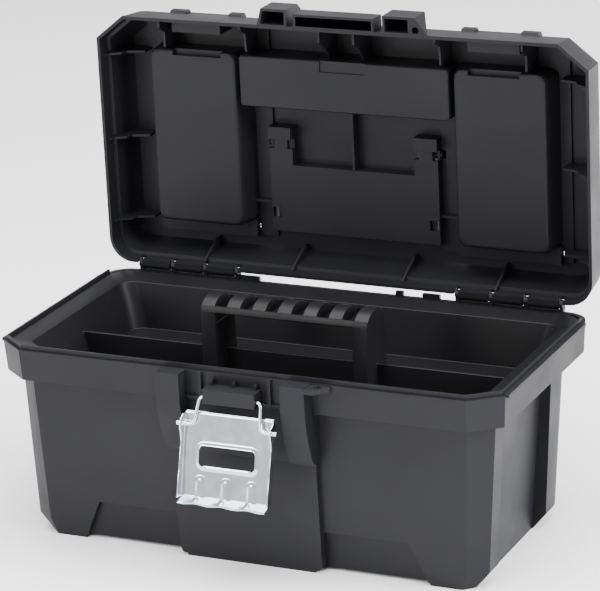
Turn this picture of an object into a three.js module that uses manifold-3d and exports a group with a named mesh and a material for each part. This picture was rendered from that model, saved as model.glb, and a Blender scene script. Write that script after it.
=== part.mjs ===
// Plastic toolbox with a lift-out tray, a hinged lid with two organiser wells and a steel latch.
// Millimetres, +Z up, +X to the right, the front faces -Y. The origin is on the floor, below
// the middle of the body. The lid stands open, and the latch hangs down.
import * as THREE from 'three';
import { mergeVertices } from 'three/addons/utils/BufferGeometryUtils.js';
import Module from 'manifold-3d';

const wasm = await Module();
wasm.setup();

// ---- driving dimensions -------------------------------------------------------------------

const WALL = 2.5;
const RIM_TOP = 154.7;
const SKIRT_BOTTOM = 130.5;
const STEP_TOP = SKIRT_BOTTOM + WALL;
const RIDGE_TOP = 158.3;
const FLOOR_UNDERSIDE = 2;
const BAND_TOP = 32.5;

const HINGE = { y: 102, z: 160.5, pin: 2.1, bore: 2.45, knuckle: 3.5, barrel: 4.5, snap: 3.2 };
const BARRELS = [[96.5, 120.8], [124.8, 149.1], [153.6, 178.3]];
const WEBS = [[93.2, 96.0], [121.3, 124.3], [149.7, 153.0], [178.8, 181.6]];

const LID_RIM = 155.9;
const LID_TOP = 196.6;
const LID_INSIDE = LID_TOP - WALL;
const LID_STEP = 167;
const LID_STEP_INSET = 5;
const JOIN_TOP = 195;
const ABOVE_LID = LID_TOP + 2;
const THIN = 2;

const WELL = { x0: 75.2, x1: 177, y0: -90.4, y1: 76.9, floor: 193.6, underside: 191.6 };
const HINGE_WELL = { x0: 89.5, x1: 169, y0: 67.3, floor: 187.3, underside: 185.1 };
const POCKET = { x0: 91.1, x1: 168.1, y0: -75.5, y1: 67.5, underside: 169.5, baseX0: 86.5, baseX1: 170.5 };
const TROUGH = { x1: 88.2, y0: -74.5, y1: -34, underside: 168.5 };
const RECESS = { x1: 72, inside: 52, y0: -14.5, yBar: 16.5, y1: 71.5, underside: 183 };
const SHELF = { x0: 104.3, x1: 146.4, y1: -89.5, underside: 171 };

const HANDLE = { x0: 56, x1: 68, barY: 42, endY: 67.5, y: 0, z: 191, thick: 8.8, pin: 3 };
const COVER = { gap: 0.4, y: 72.2, z: 192.2, round: 4.2, plate: 2.4, frontY: -90, rearY: 70, pin: 1.8 };

const UPRIGHT = { x0: 41, x1: 60.5, front: -114 };
const BOSS = { x1: 21, front: -116, z0: 134.8, z1: 146 };
const BAIL = { y: -112, z: 138.8, wire: 1.5, hole: 1.85 };
const PIVOT = { y: -120.2, z: 119.5, tilt: THREE.MathUtils.degToRad(13.7) };
const PLATE = { half: 37, sheet: 1, v: -4.1, top: -9.4, bend: 55, lipEnd: 59.3, lipV: 4.5 };
const WINDOW = { half: 22.7, u0: 15.5, u1: 31, radius: 3.5 };

const TRAY = { floor: 112, top: 155.2, lip: 151, wall: 2 };
const BRIDGE = { half: 69.2, leg: 12.4, depth: 16.8, shoulder: 171.7, crest: 179, round: 22.6, wall: 3 };

// ---- geometry to solids and back ----------------------------------------------------------

function solid(geometry) {
  const bare = geometry.index ? geometry.toNonIndexed() : geometry.clone();
  for (const name of Object.keys(bare.attributes)) {
    if (name !== 'position') bare.deleteAttribute(name);
  }
  const merged = mergeVertices(bare, 1e-4);
  const mesh = new wasm.Mesh({
    numProp: 3,
    vertProperties: Float32Array.from(merged.attributes.position.array),
    triVerts: Uint32Array.from(merged.index.array),
  });
  return new wasm.Manifold(mesh);
}

function toGeometry(manifold) {
  const mesh = manifold.getMesh();
  const geometry = new THREE.BufferGeometry();
  const positions = new Float32Array(mesh.numVert * 3);
  for (let i = 0; i < mesh.numVert; i += 1) {
    for (let axis = 0; axis < 3; axis += 1) {
      positions[i * 3 + axis] = mesh.vertProperties[i * mesh.numProp + axis];
    }
  }
  geometry.setAttribute('position', new THREE.BufferAttribute(positions, 3));
  geometry.setIndex(new THREE.BufferAttribute(Uint32Array.from(mesh.triVerts), 1));
  geometry.computeVertexNormals();
  return geometry;
}

function join(...solids) {
  return solids.reduce((sum, next) => sum.add(next));
}

function cut(body, ...tools) {
  return tools.reduce((rest, tool) => rest.subtract(tool), body);
}

// The same solid mirrored from +X to -X.
function mirrored(manifold) {
  const geometry = toGeometry(manifold);
  const position = geometry.attributes.position;
  for (let i = 0; i < position.count; i += 1) position.setX(i, -position.getX(i));
  const index = geometry.index.array;
  for (let i = 0; i < index.length; i += 3) {
    const second = index[i + 1];
    index[i + 1] = index[i + 2];
    index[i + 2] = second;
  }
  return solid(geometry);
}

function both(manifold) {
  return join(manifold, mirrored(manifold));
}

function box(x0, x1, y0, y1, z0, z1) {
  const geometry = new THREE.BoxGeometry(x1 - x0, y1 - y0, z1 - z0);
  geometry.translate((x0 + x1) / 2, (y0 + y1) / 2, (z0 + z1) / 2);
  return solid(geometry);
}

function extruded(points, depth) {
  const shape = new THREE.Shape(points.map(([a, b]) => new THREE.Vector2(a, b)));
  return new THREE.ExtrudeGeometry(shape, { depth, bevelEnabled: false });
}

// Prisms: along X from [y, z] points, along Y from [x, z] points, along Z from [x, y] points.
function prismX(points, x0, x1) {
  const geometry = extruded(points, x1 - x0);
  geometry.applyMatrix4(new THREE.Matrix4().set(0, 0, 1, x0, 1, 0, 0, 0, 0, 1, 0, 0, 0, 0, 0, 1));
  return solid(geometry);
}

function prismY(points, y0, y1) {
  const geometry = extruded(points, y1 - y0);
  geometry.applyMatrix4(new THREE.Matrix4().set(1, 0, 0, 0, 0, 0, -1, y1, 0, 1, 0, 0, 0, 0, 0, 1));
  return solid(geometry);
}

function prismZ(points, z0, z1) {
  const geometry = extruded(points, z1 - z0);
  geometry.translate(0, 0, z0);
  return solid(geometry);
}

function rodX(y, z, radius, x0, x1, sides = 20) {
  const geometry = new THREE.CylinderGeometry(radius, radius, x1 - x0, sides);
  geometry.rotateZ(Math.PI / 2);
  geometry.translate((x0 + x1) / 2, y, z);
  return solid(geometry);
}

function rodZ(x, y, radius, z0, z1, sides = 20) {
  const geometry = new THREE.CylinderGeometry(radius, radius, z1 - z0, sides);
  geometry.rotateX(Math.PI / 2);
  geometry.translate(x, y, (z0 + z1) / 2);
  return solid(geometry);
}

// A closed skin over outlines of equal point count, given as [z, points] from the bottom up.
function loft(sections) {
  const count = sections[0][1].length;
  const positions = [];
  for (const [z, points] of sections) {
    for (const [x, y] of points) positions.push(x, y, z);
  }
  const index = [];
  for (let level = 0; level + 1 < sections.length; level += 1) {
    for (let i = 0; i < count; i += 1) {
      const a = level * count + i;
      const b = level * count + (i + 1) % count;
      index.push(a, b, b + count, a, b + count, a + count);
    }
  }
  const top = (sections.length - 1) * count;
  const cap = (points) => points.map(([x, y]) => new THREE.Vector2(x, y));
  for (const [a, b, c] of THREE.ShapeUtils.triangulateShape(cap(sections[0][1]), [])) {
    index.push(a, c, b);
  }
  for (const [a, b, c] of THREE.ShapeUtils.triangulateShape(cap(sections.at(-1)[1]), [])) {
    index.push(top + a, top + b, top + c);
  }
  const geometry = new THREE.BufferGeometry();
  geometry.setAttribute('position', new THREE.Float32BufferAttribute(positions, 3));
  geometry.setIndex(index);
  return solid(geometry);
}

// ---- outlines -----------------------------------------------------------------------------

function arc(x, y, radius, from, to, steps) {
  const points = [];
  for (let i = 0; i <= steps; i += 1) {
    const angle = THREE.MathUtils.degToRad(from + (to - from) * i / steps);
    points.push([x + radius * Math.cos(angle), y + radius * Math.sin(angle)]);
  }
  return points;
}

// The plan of the box: front corners cut off, rear corners round.
function plan({ half, front, rear, cutX, cutY, radius }) {
  return [
    [-half + cutX, front],
    [half - cutX, front],
    [half, front + cutY],
    ...arc(half - radius, rear - radius, radius, 0, 90, 7),
    ...arc(-half + radius, rear - radius, radius, 90, 180, 7),
    [-half, front + cutY],
  ];
}

// The same plan moved inwards by t on every side.
function inset(section, t) {
  const length = Math.hypot(section.cutX, section.cutY);
  const nx = section.cutY / length;
  const ny = section.cutX / length;
  return {
    half: section.half - t,
    front: section.front + t,
    rear: section.rear - t,
    cutX: section.cutX - t + t * (1 - ny) / nx,
    cutY: section.cutY - t + t * (1 - nx) / ny,
    radius: Math.max(section.radius - t, 2),
  };
}

function roundedPlan(x0, x1, y0, y1, radius) {
  return [
    ...arc(x1 - radius, y0 + radius, radius, -90, 0, 3),
    ...arc(x1 - radius, y1 - radius, radius, 0, 90, 3),
    ...arc(x0 + radius, y1 - radius, radius, 90, 180, 3),
    ...arc(x0 + radius, y0 + radius, radius, 180, 270, 3),
  ];
}

// ---- tub ----------------------------------------------------------------------------------

const BODY = [
  [0, { half: 176, front: -86, rear: 79.5, cutX: 8, cutY: 8, radius: 24 }],
  [13, { half: 187, front: -88.2, rear: 81, cutX: 14.5, cutY: 9.5, radius: 26 }],
  [SKIRT_BOTTOM, { half: 194, front: -90.9, rear: 86.2, cutX: 16.5, cutY: 15, radius: 26 }],
];
const SKIRT = [
  [SKIRT_BOTTOM, { half: 203.5, front: -100.9, rear: 100.8, cutX: 22.7, cutY: 17.8, radius: 19 }],
  [RIM_TOP, { half: 205, front: -102.4, rear: 102.3, cutX: 23.4, cutY: 18.4, radius: 20 }],
];
const [BODY_FOOT, BODY_LOW, BODY_HIGH] = BODY.map(([, section]) => section);
const [SKIRT_LOW, SKIRT_HIGH] = SKIRT.map(([, section]) => section);

function tubCavity() {
  const low = inset({ ...BODY_LOW, front: -82 }, WALL);
  const lowBand = inset({ ...BODY_LOW, front: -84.4 }, WALL);
  const aboveBand = inset({ ...BODY_LOW, front: -88.8 }, WALL);
  const shelf = BAND_TOP + WALL;
  const lower = loft([
    [FLOOR_UNDERSIDE + WALL, plan({ ...low, half: low.half - 9 })],
    [13 + WALL, plan(low)],
    [shelf, plan(lowBand)],
    [shelf + 0.5, plan(aboveBand)],
    [STEP_TOP + 0.1, plan(inset(BODY_HIGH, WALL))],
  ]);
  const upper = loft([
    [STEP_TOP, plan(inset(SKIRT_LOW, WALL))],
    [RIM_TOP + 1, plan(inset(SKIRT_HIGH, WALL))],
  ]);
  return [cut(lower, both(sidePanel(WALL))), upper];
}

// The side walls stand back between a strip at the front corner and a rear pilaster.
function sidePanel(grow) {
  const points = [
    [175.2 - grow, -1],
    [186.2 - grow, SKIRT_BOTTOM + grow],
    [210, SKIRT_BOTTOM + grow],
    [210, -1],
  ];
  return prismY(points, -61 - grow, 39 + grow);
}

function frontPilaster() {
  const face = [
    [-53, 0], [53, 0], [57.4, 3], [58.9, 9], [58.9, 131], [-58.9, 131], [-58.9, 9], [-57.4, 3],
  ];
  const side = [[-80, 0], [-91.6, 0], [-92.6, 8], [-95, 88], [-96, 131], [-80, 131]];
  return prismY(face, -97, -80).intersect(prismX(side, -60, 60));
}

// Low recesses between the pilaster and the corner feet.
function lowBand() {
  const face = [[59.2, -1], [59.2, BAND_TOP], [128.5, BAND_TOP], [138, 11], [143, -1]];
  const side = [[-95, -1], [-82, -1], [-84.4, BAND_TOP], [-95, BAND_TOP]];
  return prismY(face, -95, -80).intersect(prismX(side, 50, 150));
}

function latchRecess() {
  const panel = [
    [-86, 88], [-95, 88], [-102, 134], [-102, RIM_TOP], [-98, RIM_TOP], [-98, 133], [-86, 125],
  ];
  const upright = [
    [-86, 88], [-97.6, 88], [-98.6, 90.8], [-102, 91.4], [-105.6, 98], [-109.2, 109],
    [-112.4, 121], [UPRIGHT.front, 133], [UPRIGHT.front, RIM_TOP], [-98, RIM_TOP], [-86, 130],
  ];
  const ribs = [-17.8, 0, 17.8].map((x) => box(x - 0.8, x + 0.8, -106.5, -101, BOSS.z1 - 1, 150));
  return join(
    prismX(panel, -UPRIGHT.x0 - 1, UPRIGHT.x0 + 1),
    both(prismX(upright, UPRIGHT.x0, UPRIGHT.x1)),
    box(-UPRIGHT.x0 - 1, UPRIGHT.x0 + 1, -104, -101, 133, 135.5),
    both(box(27, 29.5, -105, -101, 134, RIM_TOP)),
    box(-BOSS.x1, BOSS.x1, BOSS.front, -101, BOSS.z0, BOSS.z1),
    ...ribs,
  );
}

function latchRecessHollows() {
  const behindPanel = [[-85, 91], [-92.6, 91], [-99.2, 130], [-85, 130]];
  const upright = [
    [-84, 93], [-96.5, 93], [-100.6, 94], [-103.2, 99.2], [-106.7, 109.8], [-109.9, 121.6],
    [UPRIGHT.front + WALL, 133.2], [UPRIGHT.front + WALL, 152], [-97, 152], [-84, 132],
  ];
  return join(
    prismX(behindPanel, -38.5, 38.5),
    both(prismX(upright, UPRIGHT.x0 + WALL, UPRIGHT.x1 - WALL)),
    rodX(BAIL.y, BAIL.z, BAIL.hole, -BOSS.x1 - 1, BOSS.x1 + 1, 16),
  );
}

const PADLOCK = { x: 68, y: -107, radius: 2.8 };

function padlockEye() {
  const shelf = [[59, -114], [67.5, -113.6], [77, -104.4], [77, -99], [59, -99]];
  return cut(
    prismZ(shelf, 150.2, 154.2),
    rodZ(PADLOCK.x, PADLOCK.y, PADLOCK.radius, 149, 156),
  );
}

function sealingRidge() {
  const outer = inset(SKIRT_HIGH, 2.4);
  const inner = inset(SKIRT_HIGH, 3.9);
  const ring = cut(prismZ(plan(outer), 149, RIDGE_TOP), prismZ(plan(inner), 148, RIDGE_TOP + 1));
  const rear = box(-210, 210, 84, 110, RIM_TOP, RIDGE_TOP + 1);
  return cut(ring, rear);
}

function hingeWebs() {
  const neck = [
    [99.8, 153.5], [102, 148.5], [105.2, 157], [105.4, HINGE.z], [99.2, HINGE.z], [99.4, 156.8],
  ];
  const webs = WEBS.map(([x0, x1]) => join(
    prismX(neck, x0, x1),
    rodX(HINGE.y, HINGE.z, HINGE.knuckle, x0, x1),
  ));
  const pin = rodX(HINGE.y, HINGE.z, HINGE.pin, WEBS[0][0] + 0.5, WEBS.at(-1)[1] - 0.5);
  const fenceTop = HINGE.z - HINGE.barrel - 0.4;
  const fence = box(WEBS[0][0], WEBS.at(-1)[1], HINGE.y - 1, HINGE.y + 2.3, 150, fenceTop);
  return both(join(...webs, pin, fence));
}

function rearHooks() {
  const hook = [[101.6, 147], [105, 152], [105, 157.6], [101.6, 157.6]];
  return join(prismX(hook, -94, -76), prismX(hook, 42, 48), prismX(hook, 64.6, 79));
}

function makeTub() {
  const shell = join(
    loft(BODY.map(([z, section]) => [z, plan(section)])),
    loft(SKIRT.map(([z, section]) => [z, plan(section)])),
  );
  const carved = cut(shell, both(sidePanel(0)), both(lowBand()));
  const solidTub = join(carved, frontPilaster(), latchRecess(), both(box(202, 207.3, -82, 80, 152.9, 155.4)));
  const underside = both(box(53, 143, -100, 90, -1, FLOOR_UNDERSIDE));
  const hollow = cut(solidTub, ...tubCavity(), latchRecessHollows(), underside);
  return join(hollow, sealingRidge(), padlockEye(), hingeWebs(), rearHooks());
}

// ---- lid, drawn closed --------------------------------------------------------------------

const LID = [
  [LID_RIM, { half: 206.5, front: -103.8, rear: 100.9, cutX: 24, cutY: 19, radius: 20 }],
  [184, { half: 203.4, front: -101.4, rear: 98.6, cutX: 23.3, cutY: 18.4, radius: 19 }],
  [192, { half: 201.4, front: -99.6, rear: 97, cutX: 22.6, cutY: 17.8, radius: 18 }],
  [195.4, { half: 198.2, front: -96.8, rear: 94.2, cutX: 21.6, cutY: 17, radius: 15.4 }],
  [LID_TOP, { half: 195, front: -93.6, rear: 91.2, cutX: 20.4, cutY: 16, radius: 13 }],
];

function lidShell() {
  const outer = loft(LID.map(([z, section]) => [z, plan(section)]));
  const sections = LID.map(([, section]) => inset(section, WALL));
  const inner = loft([
    [LID_RIM - 1, plan(sections[0])],
    [LID_STEP, plan(inset(sections[0], 1))],
    [LID_STEP + 0.4, plan(inset(sections[0], LID_STEP_INSET - WALL + 1))],
    [184, plan(inset(sections[1], LID_STEP_INSET - WALL))],
    [190.4, plan(inset(sections[2], LID_STEP_INSET - WALL))],
    [LID_INSIDE, plan(inset(sections[3], LID_STEP_INSET - WALL))],
  ]);
  return cut(outer, inner);
}

// One level of the pocket, moved in by t, with the sides spreading by share towards the base.
function pocketPlan(t, share, radius) {
  const x0 = POCKET.x0 + (POCKET.baseX0 - POCKET.x0) * share + t;
  const x1 = POCKET.x1 + (POCKET.baseX1 - POCKET.x1) * share - t;
  return roundedPlan(x0, x1, POCKET.y0 + t * POCKET_FRONT_CRISP, POCKET.y1 - t, radius);
}

const POCKET_FRONT_CRISP = 0.4;
const POCKET_EDGE = [[0, 4], [0.9, 1.8], [3, 0.5], [5.5, 0]];

// The shallow well for each organiser cover, its hinge trough, and the pocket below them.
function organiserOuter() {
  const wellY0 = WELL.y0 - THIN;
  const wellY1 = WELL.y1 + WALL;
  const well = box(WELL.x0 - 3.3, WELL.x1 + THIN, wellY0, wellY1, WELL.underside, JOIN_TOP);
  const pocket = loft([
    ...POCKET_EDGE.map(([rise, t]) => [POCKET.underside + rise, pocketPlan(t, 0, 7)]),
    [WELL.underside + 1, pocketPlan(0, 1, 7)],
  ]);
  const { x0, x1, y0, underside } = HINGE_WELL;
  const trough = box(x0 - THIN, x1 + THIN, y0 - THIN, wellY1, underside, JOIN_TOP);
  const shelf = box(SHELF.x0, SHELF.x1, -100, SHELF.y1, SHELF.underside, JOIN_TOP);
  return join(cut(pocket, pocketNotch(0)), well, trough, shelf);
}

function pocketNotch(grow) {
  return box(SHELF.x0 - grow, SHELF.x1 + grow, -80, -71 + grow, 168, 174 + grow);
}

function organiserInner() {
  const well = box(WELL.x0, WELL.x1, WELL.y0, WELL.y1, WELL.floor, ABOVE_LID);
  const pocket = loft([
    [POCKET.underside + THIN, pocketPlan(THIN + 2, 0, 5)],
    [POCKET.underside + 6, pocketPlan(THIN + 0.4, 0, 5)],
    [WELL.floor + 1, pocketPlan(THIN, 1, 5)],
  ]);
  const { x0, x1, y0, floor } = HINGE_WELL;
  const trough = box(x0, x1, y0, WELL.y1, floor, ABOVE_LID);
  const shelf = box(SHELF.x0 + THIN, SHELF.x1 - THIN, -97.5, -91, SHELF.underside + THIN, 192);
  const tab = box(SHELF.x0 + THIN, SHELF.x1 - THIN, -93.4, -90, 190, ABOVE_LID);
  const bore = COVER.pin + 0.4;
  const pins = join(
    rodX(COVER.y, COVER.z, bore, x0 - THIN - 0.5, x0 + 1, 16),
    rodX(COVER.y, COVER.z, bore, x1 - 1, x1 + THIN + 0.5, 16),
  );
  return join(cut(pocket, pocketNotch(THIN)), well, trough, shelf, tab, pins);
}

function troughOuter() {
  const { x1, y0, y1, underside } = TROUGH;
  const block = loft([
    [underside, roundedPlan(-x1 + 0.7, x1 - 0.7, y0 + 0.7, y1 - 0.7, 2)],
    [underside + 0.8, roundedPlan(-x1, x1, y0, y1, 2.5)],
    [JOIN_TOP, roundedPlan(-x1 - 0.6, x1 + 0.6, y0 - 0.6, y1 + 0.6, 2.5)],
  ]);
  return cut(block, box(-19, 19, y0 - 3, y0 + 9, underside - 1, underside + 1.3));
}

function troughInner() {
  const { x1, y0, y1, underside } = TROUGH;
  const deepTop = WELL.underside - 0.1;
  const deep = box(-x1 + THIN, x1 - THIN, y0 + THIN, y1 - THIN, underside + THIN, deepTop);
  const mouth = box(-WELL.x0 + 5, WELL.x0 - 5, y0 + THIN, y1 - THIN, deepTop - 1, ABOVE_LID);
  const notchWall = box(-21, 21, y0, y0 + 11, underside, underside + 1.3 + THIN);
  return cut(join(deep, mouth), notchWall);
}

function handleRecess(grow, z0, z1) {
  const { x1, inside, y0, yBar, y1 } = RECESS;
  const leg = both(box(inside - grow, x1 + grow, y0 - grow, yBar + 3, z0, z1));
  return join(leg, box(-x1 - grow, x1 + grow, yBar - grow, y1 + grow, z0, z1));
}

// Raised stops across the front ends of the handle's slots.
function handleStops() {
  const { x1, inside, y0, underside } = RECESS;
  return both(box(inside + 0.6, x1, y0, y0 + 10, underside - 1.7, underside + 1));
}

function handleHoles() {
  return both(join(
    rodX(HANDLE.y, HANDLE.z, HANDLE.pin + 0.4, 69.5, WELL.x0 + 0.5),
    box(51, 56.5, -4.5, 3.5, 182, 187.4),
    box(67.5, RECESS.x1 + 0.5, -4.5, 3.5, 182, 187.4),
    box(63.7, 71.4, 52, 60.5, 182, 186),
  ));
}

const RIB = 1.8;

function lidRibs() {
  const fronts = [
    [14.6, [[-101, 159.8], [-91.5, 159.8], [-86.9, 167.6], [-78.4, 176.2]]],
    [82, [[-101, 159.8], [-97.8, 159.8], [-92.5, 168.6], [-77.8, 170.1]]],
    [152.4, [[-101, 159.8], [-95.2, 159.8], [-89.7, 168.3], [-77.4, 168.6]]],
  ];
  const frontWall = [[-74, 178], [-74, JOIN_TOP], [-98, JOIN_TOP]];
  const side = [
    [204, 160], [201.4, 160], [200, 164], [192, 169], [190, 175], [176, 179], [176, JOIN_TOP],
    [200, JOIN_TOP],
  ];
  const rear = [
    [99, 162], [96.6, 162], [93.5, 167], [89, 177], [84.5, 188], [84, JOIN_TOP], [95, JOIN_TOP],
  ];
  const half = RIB / 2;
  const ribs = fronts.map(([x, edge]) => prismX([...edge, ...frontWall], x - half, x + half));
  const sides = [-69.5, 0, 68.5].map((y) => prismY(side, y - half, y + half));
  const rears = [47.4, 124.9].map((x) => prismX(rear, x - half, x + half));
  const bridge = box(RECESS.x1 - 1, POCKET.x0 + 1, 48, 48 + RIB, 186, JOIN_TOP);
  const centre = box(-half, half, TROUGH.y1 - 1, RECESS.yBar + 1, 184, JOIN_TOP);
  const inside = loft([
    [LID_RIM, plan(inset(LID[0][1], 1.2))],
    [JOIN_TOP, plan(inset(LID[3][1], 1))],
  ]);
  return join(both(join(...ribs, ...sides, ...rears, bridge)), centre).intersect(inside);
}

const POD_LEFT = { x0: 39.4, x1: 61, flare: 64.5, narrow: 5 };
const POD_RIGHT = { x0: 41, x1: 68, flare: 78, narrow: 14 };
const POD = { front: -117, rear: -99, open: -104.6, top: 185 };

// The hollow pods that drop over the tub's uprights when the lid is shut, drawn on the right.
function podOuter({ x0, x1, flare, narrow }) {
  const { front, rear, top } = POD;
  const outline = [[x0, rear], [x0, front], [x1, front], [flare, -104], [flare, rear]];
  const side = [[-101.4, LID_RIM], [front, LID_RIM], [front, 177], [-112, 183.5], [rear, top]];
  const taper = [[x0, LID_RIM], [flare, LID_RIM], [flare - narrow, top], [x0, top]];
  return prismZ(outline, LID_RIM, top)
    .intersect(prismX(side, x0, flare))
    .intersect(prismY(taper, front, rear));
}

function podInner({ x0, x1, flare, narrow }) {
  const { front, rear, open, top } = POD;
  const inside = front + THIN;
  const outline = [[x0 + THIN, open], [x0 + THIN, inside], [x1 - 1.4, inside], [flare - 2.6, open]];
  const side = [[-104, 150], [front, 150], [front, 176], [-111.5, 181.2], [-104, 182]];
  const taper = [[x0, 150], [flare - THIN, 150], [flare - narrow - 3, top], [x0, top]];
  return prismZ(outline, 150, top)
    .intersect(prismX(side, x0, flare))
    .intersect(prismY(taper, front, rear));
}

// The right pod has a floored cell with the hole that the padlock goes through.
function padlockCell() {
  const wall = [62, 63.6];
  const floor = [[wall[0], -103.5], [wall[0], POD.front + 1], [68, POD.front + 1], [76.5, -103.5]];
  return cut(
    join(
      prismZ(floor, LID_RIM + 0.3, LID_RIM + 0.3 + THIN),
      box(...wall, POD.front + 1, -103, LID_RIM + 0.3, 182),
    ),
    rodZ(PADLOCK.x, PADLOCK.y, PADLOCK.radius, 150, 165),
  ).intersect(podOuter(POD_RIGHT));
}

const CATCH = { x1: 33.7, front: -114, top: 172 };

function catchLedge() {
  const { x1, front, top } = CATCH;
  return cut(
    box(-x1, x1, front, -101, LID_RIM + 0.2, top),
    box(-x1 + THIN, x1 - THIN, front + THIN, -104.6, LID_RIM - 1, top - THIN),
  );
}

function edgeBumps() {
  const side = [[-97, 184], [-102.6, 188], [-102.6, 194], [-99.6, 196.4], [-95, 196.4], [-94, 190]];
  return both(join(prismX(side, 93, 104), prismX(side, 141.5, 155.5)));
}

function hingeBarrels() {
  const barrels = BARRELS.map(([x0, x1]) => rodX(HINGE.y, HINGE.z, HINGE.barrel, x0, x1));
  return both(join(...barrels));
}

function hingeCuts() {
  const notches = WEBS.map(([x0, x1]) => box(x0 - 0.6, x1 + 0.6, 96.4, 108, 150, 165.9));
  const bores = BARRELS.map(([x0, x1]) => join(
    rodX(HINGE.y, HINGE.z, HINGE.bore, x0 - 1, x1 + 1),
    box(x0 - 1, x1 + 1, HINGE.y, 108, HINGE.z - HINGE.snap / 2, HINGE.z + HINGE.snap / 2),
  ));
  return both(join(...notches, ...bores));
}

function makeLid() {
  const outside = join(
    lidShell(),
    lidRibs(),
    both(organiserOuter()),
    troughOuter(),
    handleRecess(0, RECESS.underside, JOIN_TOP),
    handleStops(),
    podOuter(POD_RIGHT),
    mirrored(podOuter(POD_LEFT)),
    catchLedge(),
    edgeBumps(),
    hingeBarrels(),
  );
  return join(cut(
    outside,
    both(organiserInner()),
    troughInner(),
    handleRecess(-THIN, RECESS.underside + THIN, ABOVE_LID),
    handleHoles(),
    podInner(POD_RIGHT),
    mirrored(podInner(POD_LEFT)),
    hingeCuts(),
  ), padlockCell());
}

function makeHandle() {
  const { x0, x1, barY, endY, y, z, thick, pin } = HANDLE;
  const low = z - thick / 2;
  const high = z + thick / 2;
  const leg = join(
    box(x0, x1, y, endY - 1, low, high),
    rodX(y, z, thick / 2, x0, x1, 24),
    rodX(y, z, pin, x1 - 1, x1 + 5.6, 16),
  );
  return join(both(leg), box(-x1, x1, barY, endY, low, high));
}

function makeCover() {
  const x0 = WELL.x0 + COVER.gap;
  const x1 = WELL.x1 - COVER.gap;
  const high = COVER.z + COVER.round;
  const low = high - COVER.plate;
  const hinge0 = HINGE_WELL.x0 + COVER.gap;
  const hinge1 = HINGE_WELL.x1 - COVER.gap;
  return join(
    box(x0, x1, COVER.frontY, COVER.rearY, low, high),
    box(hinge0, hinge1, COVER.rearY - 1, COVER.y, low, high),
    rodX(COVER.y, COVER.z, COVER.round, hinge0, hinge1, 24),
    box(SHELF.x0 + 2.6, SHELF.x1 - 2.6, -93, COVER.frontY + 1, low, high),
    rodX(COVER.y, COVER.z, COVER.pin, hinge0 - THIN, hinge0 + 1, 16),
    rodX(COVER.y, COVER.z, COVER.pin, hinge1 - 1, hinge1 + THIN, 16),
  );
}

// ---- tray ---------------------------------------------------------------------------------

const TRAY_HEM = { half: 200.2, front: -97.4, rear: 95.4, cutX: 22.2, cutY: 17.4, radius: 17 };
const TRAY_LIP = { half: 189, front: -87, rear: 83.6, cutX: 17.5, cutY: 14, radius: 14 };
const TRAY_STEP = { half: 182.6, front: -84.4, rear: 80.6, cutX: 15.5, cutY: 12.5, radius: 14 };
const TRAY_BOTTOM = { half: 178.4, front: -82.4, rear: 78.6, cutX: 14, cutY: 11.5, radius: 14 };

function trayBasin(t, z0, z1) {
  return loft([
    [z0, plan(inset(TRAY_BOTTOM, t))],
    [STEP_TOP, plan(inset(TRAY_STEP, t))],
    [TRAY.lip, plan(inset(TRAY_LIP, t))],
    [z1, plan(inset(TRAY_LIP, t))],
  ]);
}

function trayShell() {
  const hem = prismZ(plan(TRAY_HEM), STEP_TOP + 0.3, TRAY.top);
  const funnel = loft([
    [TRAY.lip, plan(inset(TRAY_LIP, TRAY.wall))],
    [TRAY.top + 0.1, plan(inset(TRAY_HEM, 1))],
  ]);
  const underRim = loft([
    [STEP_TOP, plan(inset(TRAY_HEM, 1.8))],
    [TRAY.lip - 2.5, plan(inset(TRAY_HEM, 1.8))],
    [TRAY.lip - 2.4, plan(inset(TRAY_HEM, 3.5))],
  ]);
  const basin = trayBasin(0, TRAY.floor, TRAY.lip + 0.5);
  const rim = cut(hem, cut(underRim, trayBasin(0, TRAY.floor, TRAY.top)));
  return cut(join(rim, basin), funnel, trayBasin(TRAY.wall, TRAY.floor + TRAY.wall, TRAY.lip + 1));
}

function bridgeSide(t) {
  const y = BRIDGE.depth - t;
  return [
    [-y - 2, TRAY.floor + 1],
    [-y, BRIDGE.shoulder - 3 - t],
    ...arc(0, BRIDGE.crest - BRIDGE.round - t, BRIDGE.round, 132, 48, 8),
    [y, BRIDGE.shoulder - 3 - t],
    [y + 2, TRAY.floor + 1],
  ];
}

function trayBridge() {
  const { half, leg, wall, depth } = BRIDGE;
  const outer = prismX(bridgeSide(0), -half, half);
  const between = box(-half + leg, half - leg, -depth - 5, depth + 5, 100, 168.5);
  const hollowLegs = both(prismX(bridgeSide(wall), half - leg + THIN, half - THIN));
  const slots = [10.75, 31.8, 53.1].map((x) => box(x - 5, x + 5, -depth + 2.5, depth - 2.5, 160, 185));
  const partition = box(-half + leg - 1, half - leg + 1, -1.2, 1.2, TRAY.floor + 1, 136);
  const wings = both(box(half - 1, 184, -1.2, 1.2, TRAY.floor + 1, 136));
  const inside = trayBasin(1, TRAY.floor, TRAY.lip + 40);
  return join(
    cut(outer, between, both(join(...slots)), hollowLegs),
    partition,
    wings.intersect(inside),
  );
}

function makeTray() {
  const legBores = both(prismX(
    [[-13, 100], [13, 100], [12, 160], [-12, 160]],
    BRIDGE.half - BRIDGE.leg + 2,
    BRIDGE.half - 2,
  ));
  return cut(join(trayShell(), trayBridge()), legBores);
}

// ---- latch --------------------------------------------------------------------------------

// Local u runs from the pivot to the lip and v from the sheet towards the flanges.
function latchPoint(u, v) {
  const sin = Math.sin(PIVOT.tilt);
  const cos = Math.cos(PIVOT.tilt);
  return [PIVOT.y - u * sin - v * cos, PIVOT.z - u * cos + v * sin];
}

function latchPrism(points, x0, x1) {
  return prismX(points.map(([u, v]) => latchPoint(u, v)), x0, x1);
}

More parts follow.
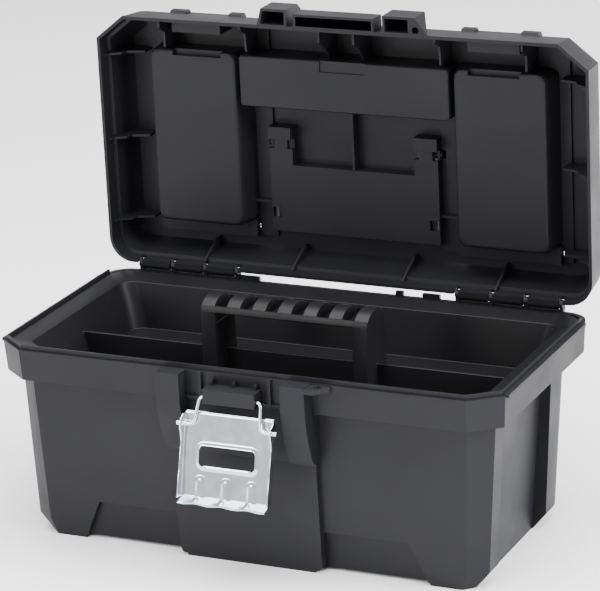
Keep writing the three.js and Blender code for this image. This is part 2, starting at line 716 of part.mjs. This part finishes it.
function latchWindow() {
  const { half, u0, u1, radius } = WINDOW;
  const outline = roundedPlan(-half, half, u0, u1, radius);
  const shape = new THREE.Shape(outline.map(([x, u]) => new THREE.Vector2(x, -u)));
  const geometry = new THREE.ExtrudeGeometry(shape, { depth: 8, bevelEnabled: false });
  geometry.rotateX(Math.PI / 2 - PIVOT.tilt);
  const [y, z] = latchPoint(0, PLATE.v - 4);
  geometry.translate(0, y, z);
  return solid(geometry);
}

function makeLatchPlate() {
  const { half, sheet, v, top, bend, lipEnd, lipV } = PLATE;
  const back = v - sheet / 2;
  const front = v + sheet / 2;
  const flange = [
    [-6, back], [-6, -1], [-4, 3.4], [0, 4.4], [4, 3.4], [9, 1.4], [14, 0.4], [30, 1.4],
    [46, 2.4], [bend, 2.4], [bend, back],
  ];
  const lip = [
    [bend - 1, back], [bend, back], [lipEnd, lipV - 0.4], [lipEnd - 0.4, lipV], [bend - 1, front],
  ];
  const [beadY, beadZ] = latchPoint(top, v - 0.9);
  const [pinY, pinZ] = latchPoint(0, 0);
  const body = join(
    latchPrism([[top, back], [top, front], [bend, front], [bend, back]], -half, half),
    latchPrism(lip, -half, half),
    rodX(beadY, beadZ, 1.45, -half, half, 16),
    both(latchPrism(flange, half - sheet, half)),
  );
  return cut(body, latchWindow(), rodX(pinY, pinZ, BAIL.hole, -half - 1, half + 1, 16));
}

function makeLatchBail() {
  const top = [BAIL.y, BAIL.z];
  const low = [PIVOT.y, PIVOT.z];
  const along = (t) => [top[0] + (low[0] - top[0]) * t, top[1] + (low[1] - top[1]) * t];
  const side = [
    [22.6, ...along(0)], [24.2, ...along(0.04)], [25.2, ...along(0.14)], [26, ...along(0.5)],
    [26.8, ...along(0.84)], [28, ...along(0.96)], [30, ...along(1)], [40.5, ...along(1)],
  ];
  const left = side.map(([x, y, z]) => new THREE.Vector3(-x, y, z)).reverse();
  const right = side.map(([x, y, z]) => new THREE.Vector3(x, y, z));
  const bendPlane = new THREE.Vector3(0, top[1] - low[1], low[0] - top[0]).normalize();
  return sweepFlat(arc(0, 0, BAIL.wire, 0, 360, 10).slice(0, -1), [...left, ...right], bendPlane);
}

// A round section carried along a polyline that lies in one plane, with mitred bends.
function sweepFlat(section, points, planeNormal) {
  const count = section.length;
  const positions = [];
  points.forEach((point, i) => {
    const next = points[i + 1] ?? point;
    const last = points[i - 1] ?? point;
    const out = next.clone().sub(point).normalize();
    const into = point.clone().sub(last).normalize();
    const tangent = out.clone().add(into).normalize();
    const mitre = 1 / Math.max(tangent.dot(i === 0 ? out : into), 0.6);
    const across = new THREE.Vector3().crossVectors(planeNormal, tangent).normalize();
    for (const [a, b] of section) {
      const offset = across.clone().multiplyScalar(a * mitre).addScaledVector(planeNormal, -b);
      positions.push(point.x + offset.x, point.y + offset.y, point.z + offset.z);
    }
  });
  const index = [];
  for (let ring = 0; ring + 1 < points.length; ring += 1) {
    for (let i = 0; i < count; i += 1) {
      const a = ring * count + i;
      const b = ring * count + (i + 1) % count;
      index.push(a, b + count, b, a, a + count, b + count);
    }
  }
  const end = (points.length - 1) * count;
  for (let i = 1; i + 1 < count; i += 1) {
    index.push(0, i, i + 1);
    index.push(end, end + i + 1, end + i);
  }
  const geometry = new THREE.BufferGeometry();
  geometry.setAttribute('position', new THREE.Float32BufferAttribute(positions, 3));
  geometry.setIndex(index);
  return solid(geometry);
}

// ---- assembly -----------------------------------------------------------------------------

const plastic = { color: 0x37373b, roughness: 0.62, metalness: 0 };
const steel = { color: 0xc9ccd0, roughness: 0.28, metalness: 1 };

function mesh(name, manifold, finish) {
  const part = new THREE.Mesh(toGeometry(manifold), new THREE.MeshStandardMaterial(finish));
  part.name = name;
  return part;
}

const toolbox = new THREE.Group();
toolbox.add(
  mesh('tub', makeTub(), plastic),
  mesh('tray', makeTray(), plastic),
  mesh('latch_plate', makeLatchPlate(), steel),
  mesh('latch_bail', makeLatchBail(), steel),
);

// The lid and what it carries swing up by a right angle about the hinge.
const hinge = new THREE.Group();
hinge.position.set(0, HINGE.y, HINGE.z);
hinge.rotation.x = -Math.PI / 2;
const closedLid = new THREE.Group();
closedLid.position.set(0, -HINGE.y, -HINGE.z);
closedLid.add(
  mesh('lid', makeLid(), plastic),
  mesh('carry_handle', makeHandle(), plastic),
  mesh('organiser_cover_right', makeCover(), plastic),
  mesh('organiser_cover_left', mirrored(makeCover()), plastic),
);
hinge.add(closedLid);
toolbox.add(hinge);

export default toolbox;
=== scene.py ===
"""Looks for the plastic toolbox with its lift-out tray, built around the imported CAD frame.

All lengths are in metres. The CAD frame has +X to the right along the front, +Z up, and the
front facing -Y. Each piece is drawn where the CAD part is at rest, with the lid open.
"""
import math

import bmesh
import bpy
from mathutils import Matrix, Vector


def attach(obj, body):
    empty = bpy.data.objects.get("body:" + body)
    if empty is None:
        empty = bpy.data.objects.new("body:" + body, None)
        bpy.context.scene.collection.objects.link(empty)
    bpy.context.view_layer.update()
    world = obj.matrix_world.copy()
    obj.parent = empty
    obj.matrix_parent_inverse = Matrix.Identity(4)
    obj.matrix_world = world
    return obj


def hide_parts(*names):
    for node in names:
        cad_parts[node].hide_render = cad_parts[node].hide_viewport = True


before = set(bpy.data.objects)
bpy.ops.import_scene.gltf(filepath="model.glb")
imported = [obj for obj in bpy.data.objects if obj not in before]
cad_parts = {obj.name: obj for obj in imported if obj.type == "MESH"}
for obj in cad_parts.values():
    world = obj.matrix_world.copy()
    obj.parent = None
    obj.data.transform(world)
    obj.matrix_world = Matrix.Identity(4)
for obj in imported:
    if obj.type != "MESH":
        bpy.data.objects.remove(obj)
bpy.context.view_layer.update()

MM = 0.001
SCENE = bpy.context.scene

WELD = 2e-6
FLAT_WITHIN = math.radians(0.6)
MOST_CORNERS = 60


# ---- small helpers ------------------------------------------------------------------------

def new_object(name, mesh):
    piece = bpy.data.objects.new(name, mesh)
    SCENE.collection.objects.link(piece)
    return piece


def smooth(mesh):
    mesh.polygons.foreach_set("use_smooth", [True] * len(mesh.polygons))


def dress(piece, material, body, node):
    """Gives a piece its material and its body, and hides the CAD node it stands for."""
    piece.data.materials.clear()
    piece.data.materials.append(material)
    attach(piece, body)
    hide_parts(node)
    return piece


def softened(node, name, width):
    """A CAD node's shape rebuilt with clean faces and rounded, evenly shaded edges.

    The triangles of each flat face are merged first. The few faces that wind round many corners
    and openings, such as the lid's rim, are cut into triangles again, or they fill in wrongly.
    """
    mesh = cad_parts[node].data.copy()
    mesh.name = name
    shape = bmesh.new()
    shape.from_mesh(mesh)
    bmesh.ops.remove_doubles(shape, verts=shape.verts, dist=WELD)
    bmesh.ops.dissolve_limit(
        shape, angle_limit=FLAT_WITHIN, verts=shape.verts, edges=shape.edges)
    bmesh.ops.dissolve_degenerate(shape, dist=WELD, edges=shape.edges)
    winding = [face for face in shape.faces if len(face.verts) > MOST_CORNERS]
    bmesh.ops.triangulate(shape, faces=winding, ngon_method="EAR_CLIP")
    shape.to_mesh(mesh)
    shape.free()
    smooth(mesh)
    piece = new_object(name, mesh)
    bevel = piece.modifiers.new("round edges", "BEVEL")
    bevel.width = width
    bevel.segments = 3
    bevel.limit_method = "ANGLE"
    bevel.angle_limit = math.radians(25)
    bevel.use_clamp_overlap = True
    bevel.harden_normals = True
    bevel.miter_outer = "MITER_ARC"
    weighted = piece.modifiers.new("even shading", "WEIGHTED_NORMAL")
    weighted.keep_sharp = False
    return piece


# ---- materials ----------------------------------------------------------------------------

class Nodes:
    """A short way to write a node tree."""

    def __init__(self, name):
        self.material = bpy.data.materials.new(name)
        self.material.use_nodes = True
        self.tree = self.material.node_tree
        self.shader = self.tree.nodes["Principled BSDF"]
        self.coordinates = self.tree.nodes.new("ShaderNodeTexCoord").outputs["Object"]

    def link(self, source, target):
        self.tree.links.new(source, target)

    def noise(self, scale, detail=3.0, roughness=0.55):
        node = self.tree.nodes.new("ShaderNodeTexNoise")
        node.inputs["Scale"].default_value = scale
        node.inputs["Detail"].default_value = detail
        node.inputs["Roughness"].default_value = roughness
        self.link(self.coordinates, node.inputs["Vector"])
        return node.outputs["Fac"]

    def stretched_noise(self, scale, stretch, detail=2.0):
        mapping = self.tree.nodes.new("ShaderNodeMapping")
        mapping.inputs["Scale"].default_value = stretch
        self.link(self.coordinates, mapping.inputs["Vector"])
        node = self.tree.nodes.new("ShaderNodeTexNoise")
        node.inputs["Scale"].default_value = scale
        node.inputs["Detail"].default_value = detail
        self.link(mapping.outputs["Vector"], node.inputs["Vector"])
        return node.outputs["Fac"]

    def ramp(self, source, low, high, value_low, value_high):
        node = self.tree.nodes.new("ShaderNodeMapRange")
        node.inputs["From Min"].default_value = low
        node.inputs["From Max"].default_value = high
        node.inputs["To Min"].default_value = value_low
        node.inputs["To Max"].default_value = value_high
        self.link(source, node.inputs["Value"])
        return node.outputs["Result"]

    def mix_colour(self, factor, first, second):
        node = self.tree.nodes.new("ShaderNodeMix")
        node.data_type = "RGBA"
        node.inputs["A"].default_value = (*first, 1)
        node.inputs["B"].default_value = (*second, 1)
        self.link(factor, node.inputs["Factor"])
        return node.outputs["Result"]

    def bump(self, height, strength, distance, normal=None):
        node = self.tree.nodes.new("ShaderNodeBump")
        node.inputs["Strength"].default_value = strength
        node.inputs["Distance"].default_value = distance
        self.link(height, node.inputs["Height"])
        if normal is not None:
            self.link(normal, node.inputs["Normal"])
        return node.outputs["Normal"]


def moulded_plastic(name, colour, rough, grain):
    """Spark-eroded polypropylene: a fine grain, faint flow marks and a slight change of tone."""
    nodes = Nodes(name)
    darker = tuple(0.86 * c for c in colour)
    lighter = tuple(1.12 * c for c in colour)
    tone = nodes.ramp(nodes.noise(9.0, 2.0), 0.35, 0.65, 0.0, 1.0)
    nodes.link(nodes.mix_colour(tone, darker, lighter), nodes.shader.inputs["Base Color"])
    sheen = nodes.ramp(nodes.noise(26.0, 4.0), 0.3, 0.7, rough - 0.05, rough + 0.06)
    nodes.link(sheen, nodes.shader.inputs["Roughness"])
    flow = nodes.bump(nodes.stretched_noise(14.0, (1.0, 1.0, 0.25)), 0.06, 0.0006)
    fine = nodes.bump(nodes.noise(2600.0, 2.0, 0.6), grain, 0.00009, flow)
    nodes.link(fine, nodes.shader.inputs["Normal"])
    nodes.shader.inputs["Specular IOR Level"].default_value = 0.20
    return nodes.material


def zinc_steel(name):
    """Bright zinc plate on pressed sheet: faint rolling lines, cloudy passivation."""
    nodes = Nodes(name)
    cloud = nodes.ramp(nodes.noise(60.0, 4.0), 0.35, 0.7, 0.0, 1.0)
    nodes.link(
        nodes.mix_colour(cloud, (0.58, 0.61, 0.65), (0.68, 0.71, 0.75)),
        nodes.shader.inputs["Base Color"])
    nodes.shader.inputs["Metallic"].default_value = 1.0
    rough = nodes.ramp(nodes.noise(140.0, 5.0), 0.3, 0.75, 0.10, 0.17)
    nodes.link(rough, nodes.shader.inputs["Roughness"])
    rolling = nodes.bump(nodes.stretched_noise(900.0, (0.03, 1.0, 1.0)), 0.04, 0.00003)
    dimple = nodes.bump(nodes.noise(60.0, 1.0), 0.03, 0.0002, rolling)
    nodes.link(dimple, nodes.shader.inputs["Normal"])
    return nodes.material


BODY_PLASTIC = moulded_plastic("charcoal polypropylene", (0.0088, 0.0088, 0.0112), 0.47, 0.30)
LID_PLASTIC = moulded_plastic("lid polypropylene", (0.0088, 0.0088, 0.0108), 0.44, 0.22)
TRAY_PLASTIC = moulded_plastic("tray polypropylene", (0.0060, 0.0060, 0.0070), 0.42, 0.22)
ZINC = zinc_steel("zinc plated steel")


# ---- moulded pieces -----------------------------------------------------------------------

def moulded_pieces():
    """Node, piece name, edge radius in mm, material, slot and body of each moulded part."""
    plan = (
        ("tub", "tub_moulding", 0.8, BODY_PLASTIC, "body_plastic", "tub_body"),
        ("lid", "lid_moulding", 0.6, LID_PLASTIC, "lid_plastic", "lid_body"),
        ("tray", "tray_moulding", 0.7, TRAY_PLASTIC, "tray_plastic", "tray_body"),
        ("carry_handle", "carry_handle_moulding", 2.0, BODY_PLASTIC, "body_plastic", "handle_body"),
        ("organiser_cover_left", "cover_left_moulding", 0.6, BODY_PLASTIC, "body_plastic",
         "cover_left_body"),
        ("organiser_cover_right", "cover_right_moulding", 0.6, BODY_PLASTIC, "body_plastic",
         "cover_right_body"),
    )
    for node, name, width, material, slot, body in plan:
        dress(softened(node, name, width * MM), material, body, node)


# ---- latch --------------------------------------------------------------------------------

PIVOT = Vector((0, -120.2, 119.5))
TILT = math.radians(13.7)
SHEET = dict(half=36.5, v=-4.1, top=-8.4, bend=55.0, lip_end=59.0, lip_v=4.0, thick=1.0)
BEAD = dict(radius=1.1, start=-60, step=30, count=8)
BEND = dict(radius=1.6, angle=62, count=4)
LIP_COUNT = 5
FLANGE_COUNT = 6
WINDOW = dict(half=22.7, u0=15.5, u1=31.0, radius=3.5, snap=0.75)
RIM = dict(width=2.2, height=1.0, inner=-0.8)
FLUTES = (-21.0, 0.0, 21.0)
FLUTE = dict(half=3.6, side=2.0, height=1.2, scallop=0.5, round_end=42.0, start=30, end=54.0)


def latch_point(x, u, v):
    """Local u runs from the pivot to the lip, and v from the sheet towards the flanges."""
    y = PIVOT.y - u * math.sin(TILT) - v * math.cos(TILT)
    z = PIVOT.z - u * math.cos(TILT) + v * math.sin(TILT)
    return Vector((x, y, z)) * MM


def window_distance(x, u):
    """Signed distance to the window's rounded outline, and the nearest point on it."""
    middle = (WINDOW["u0"] + WINDOW["u1"]) / 2
    inner_x = WINDOW["half"] - WINDOW["radius"]
    inner_u = (WINDOW["u1"] - WINDOW["u0"]) / 2 - WINDOW["radius"]
    core = Vector((max(-inner_x, min(inner_x, x)), max(-inner_u, min(inner_u, u - middle))))
    offset = Vector((x, u - middle)) - core
    if offset.length < 1e-6:
        return -WINDOW["radius"], Vector((x, u))
    edge = core + offset.normalized() * WINDOW["radius"]
    return offset.length - WINDOW["radius"], Vector((edge.x, edge.y + middle))


def flute_height(x, u):
    """Three stiffening flutes, round at the top, that run out over the bend."""
    best = 0.0
    for centre in FLUTES:
        along = min(0.0, u - FLUTE["round_end"])
        reach = math.hypot(x - centre, along)
        side = max(0.0, min(1.0, (FLUTE["half"] - reach) / FLUTE["side"]))
        best = max(best, FLUTE["height"] * math.sin(side * math.pi / 2))
    return best


def flange_depth(u):
    """How far the side flanges stand out: deep at the ears, shallow at the neck."""
    stops = ((-9, 2.0), (-6, 4.5), (-3, 7.6), (0, 8.3), (3, 7.6), (8, 5.6), (13, 4.5),
             (30, 5.3), (48, 6.3), (60, 6.3))
    for (u0, d0), (u1, d1) in zip(stops, stops[1:]):
        if u <= u1:
            share = (u - u0) / (u1 - u0)
            share = share * share * (3 - 2 * share)
            return d0 + (d1 - d0) * share
    return stops[-1][1]


def latch_profile():
    """Stations along the sheet as (u, v, has_flange): rolled top edge, sheet, bend, lip."""
    turns = [math.radians(BEAD["start"] - i * BEAD["step"]) for i in range(BEAD["count"])]
    bead_v = SHEET["v"] - BEAD["radius"]
    radius = BEAD["radius"]
    stations = [
        (SHEET["top"] + radius * math.cos(turn), bead_v + radius * math.sin(turn), False)
        for turn in turns]
    flat = [SHEET["top"] + 1 + i for i in range(int(SHEET["bend"] - SHEET["top"]) - 1)]
    stations += [(u, SHEET["v"], True) for u in flat]
    for i in range(1, BEND["count"] + 1):
        turn = math.radians(i * BEND["angle"] / BEND["count"])
        u = flat[-1] + BEND["radius"] * math.sin(turn)
        v = SHEET["v"] + BEND["radius"] * (1 - math.cos(turn))
        stations.append((u, v, True))
    u0, v0, _ = stations[-1]
    for i in range(1, LIP_COUNT + 1):
        share = i / LIP_COUNT
        u = u0 + (SHEET["lip_end"] - u0) * share
        v = v0 + (SHEET["lip_v"] - v0) * share
        stations.append((u, v, False))
    return stations


def latch_columns():
    """Columns across the sheet as (x, share of the flange's depth), from left to right."""
    half = SHEET["half"]
    columns = [(-half, 1.0 - i / FLANGE_COUNT) for i in range(FLANGE_COUNT)]
    columns += [(-half, 0.12), (-half + 0.35, 0.03)]
    columns += [(-half + 1 + i, 0.0) for i in range(int(2 * half) - 1)]
    columns += [(half - 0.35, 0.03), (half, 0.12)]
    columns += [(half, (i + 1) / FLANGE_COUNT) for i in range(FLANGE_COUNT)]
    return columns


def latch_vertex(x, share, station):
    """One point of the pressing, with the flutes, the scalloped lip and the window's rim."""
    u, v, has_flange = station
    height = v + share * flange_depth(u) if has_flange or share == 0 else v
    if share > 0:
        return latch_point(x, u, height)
    place = Vector((x, u))
    if u > FLUTE["start"]:
        to_edge = max(0.0, (u - SHEET["bend"]) / (SHEET["lip_end"] - SHEET["bend"]))
        height += flute_height(x, min(u, FLUTE["end"])) * (1 - to_edge)
        place.y -= FLUTE["scallop"] * to_edge * (1 + math.cos(math.tau * x / FLUTES[-1]))
    if has_flange:
        distance, edge = window_distance(x, u)
        if abs(distance) < WINDOW["snap"]:
            place = edge
        if RIM["inner"] < distance < RIM["width"]:
            fall = max(distance, 0) / RIM["width"]
            height += RIM["height"] * math.cos(fall * math.pi / 2)
    return latch_point(place.x, place.y, height)


def is_open(left, right, above, below):
    """True where the sheet has no face: inside the window, and beside the lip and the bead."""
    on_face = left[1] == 0 and right[1] == 0
    x = (left[0] + right[0]) / 2
    u = (above[0] + below[0]) / 2
    if on_face and above[2] and window_distance(x, u)[0] < -0.05:
        return True
    on_flange = left[1] > 0 or right[1] > 0
    return on_flange and not (above[2] and below[2])


def latch_sheet():
    """The pressed sheet as one fine grid: flange, fold, face, fold, flange."""
    columns = latch_columns()
    stations = latch_profile()
    shape = bmesh.new()
    rows = [
        [shape.verts.new(latch_vertex(x, share, station)) for x, share in columns]
        for station in stations]
    for j in range(len(stations) - 1):
        for i in range(len(columns) - 1):
            if is_open(columns[i], columns[i + 1], stations[j], stations[j + 1]):
                continue
            shape.faces.new((rows[j][i], rows[j][i + 1], rows[j + 1][i + 1], rows[j + 1][i]))
    loose = [v for v in shape.verts if not v.link_faces]
    bmesh.ops.delete(shape, geom=loose, context="VERTS")
    bmesh.ops.remove_doubles(shape, verts=shape.verts, dist=2e-5)
    bmesh.ops.recalc_face_normals(shape, faces=shape.faces)
    mesh = bpy.data.meshes.new("latch_sheet")
    shape.to_mesh(mesh)
    shape.free()
    smooth(mesh)
    piece = new_object("latch_pressing", mesh)
    thick = piece.modifiers.new("sheet thickness", "SOLIDIFY")
    thick.thickness = SHEET["thick"] * MM
    thick.offset = 0.0
    edge = piece.modifiers.new("sheared edge", "BEVEL")
    edge.width = 0.25 * MM
    edge.segments = 2
    edge.limit_method = "ANGLE"
    edge.angle_limit = math.radians(50)
    dress(piece, ZINC, "latch_body", "latch_plate")


WIRE_RADIUS = 1.45
PEENED = 1.3


def bail_wire():
    """One bent wire: through the boss, down both sides, and out through the plate's ears.

    Half its path is given as the distance from the middle and the share of the way down.
    """
    top = Vector((0, -112.0, 138.8))
    down = PIVOT - top
    half_path = ((0.0, 0.0), (22.0, 0.0), (23.6, 0.02), (24.8, 0.10), (25.3, 0.22), (25.8, 0.5),
                 (26.3, 0.74), (27.2, 0.90), (28.8, 0.985), (31.0, 1.0), (36.0, 1.0), (40.4, 1.0))
    points = [Vector((-x, 0, 0)) + top + down * t for x, t in reversed(half_path[1:])]
    points += [Vector((x, 0, 0)) + top + down * t for x, t in half_path]
    curve = bpy.data.curves.new("latch_bail_wire", "CURVE")
    curve.dimensions = "3D"
    curve.bevel_depth = WIRE_RADIUS * MM
    curve.bevel_resolution = 5
    curve.use_fill_caps = True
    spline = curve.splines.new("NURBS")
    spline.points.add(len(points) - 1)
    for knot, point in zip(spline.points, points):
        knot.co = (*(point * MM), 1)
    for end in (0, 1, -2, -1):
        spline.points[end].radius = PEENED
    spline.order_u = 3
    spline.use_endpoint_u = True
    curve.resolution_u = 6
    piece = new_object("latch_bail_wire", curve)
    dress(piece, ZINC, "bail_body", "latch_bail")


# ---- stage, light and camera --------------------------------------------------------------

def stage():
    mesh = bpy.data.meshes.new("floor")
    reach = 6.0
    corners = [(-reach, -reach, 0), (reach, -reach, 0), (reach, reach, 0), (-reach, reach, 0)]
    mesh.from_pydata(corners, [], [(0, 1, 2, 3)])
    floor = new_object("floor", mesh)
    material = bpy.data.materials.new("pale floor")
    material.use_nodes = True
    shader = material.node_tree.nodes["Principled BSDF"]
    shader.inputs["Base Color"].default_value = (0.92, 0.92, 0.92, 1)
    shader.inputs["Roughness"].default_value = 0.9
    floor.data.materials.append(material)


def area_light(name, place, aim, size, power, tint=(1, 1, 1)):
    light = bpy.data.lights.new(name, "AREA")
    light.shape = "RECTANGLE"
    light.size = size[0]
    light.size_y = size[1]
    light.energy = power
    light.color = tint
    lamp = bpy.data.objects.new(name, light)
    lamp.location = place
    lamp.rotation_euler = (Vector(aim) - Vector(place)).to_track_quat("-Z", "Y").to_euler()
    SCENE.collection.objects.link(lamp)


def lights():
    middle = (0, 0, 0.15)
    area_light("key from the right", (1.9, 0.1, 1.3), middle, (1.2, 1.2), 90)
    area_light("overhead", (0, -0.2, 2.2), middle, (2.4, 2.0), 125)
    area_light("front left", (-1.2, -2.2, 1.0), middle, (1.0, 1.0), 30)
    world = bpy.data.worlds.new("white room")
    SCENE.world = world
    world.use_nodes = True
    world.node_tree.nodes["Background"].inputs["Color"].default_value = (1, 1, 1, 1)
    world.node_tree.nodes["Background"].inputs["Strength"].default_value = 1.1


CAMERA = dict(place=(994.7, -2086.0, 960.25), yaw=25.81, pitch=-18.37, roll=-2.88, lens=193.06)


def camera():
    """The camera stands where the perspective of the box's edges puts it."""
    yaw, pitch, roll = (math.radians(CAMERA[turn]) for turn in ("yaw", "pitch", "roll"))
    forward = Vector((
        -math.sin(yaw) * math.cos(pitch), math.cos(yaw) * math.cos(pitch), math.sin(pitch)))
    right = Vector((math.cos(yaw), math.sin(yaw), 0))
    up = right.cross(forward)
    turned_right = right * math.cos(roll) + up * math.sin(roll)
    turned_up = up * math.cos(roll) - right * math.sin(roll)
    data = bpy.data.cameras.new("camera")
    data.sensor_width = 36
    data.lens = CAMERA["lens"]
    data.shift_x = 0.044
    data.shift_y = -0.019
    data.clip_end = 50
    lens = bpy.data.objects.new("camera", data)
    SCENE.collection.objects.link(lens)
    turn = Matrix((turned_right, turned_up, -forward)).transposed().to_4x4()
    lens.matrix_world = Matrix.Translation(Vector(CAMERA["place"]) * MM) @ turn
    SCENE.camera = lens


moulded_pieces()
latch_sheet()
bail_wire()
stage()
lights()
camera()
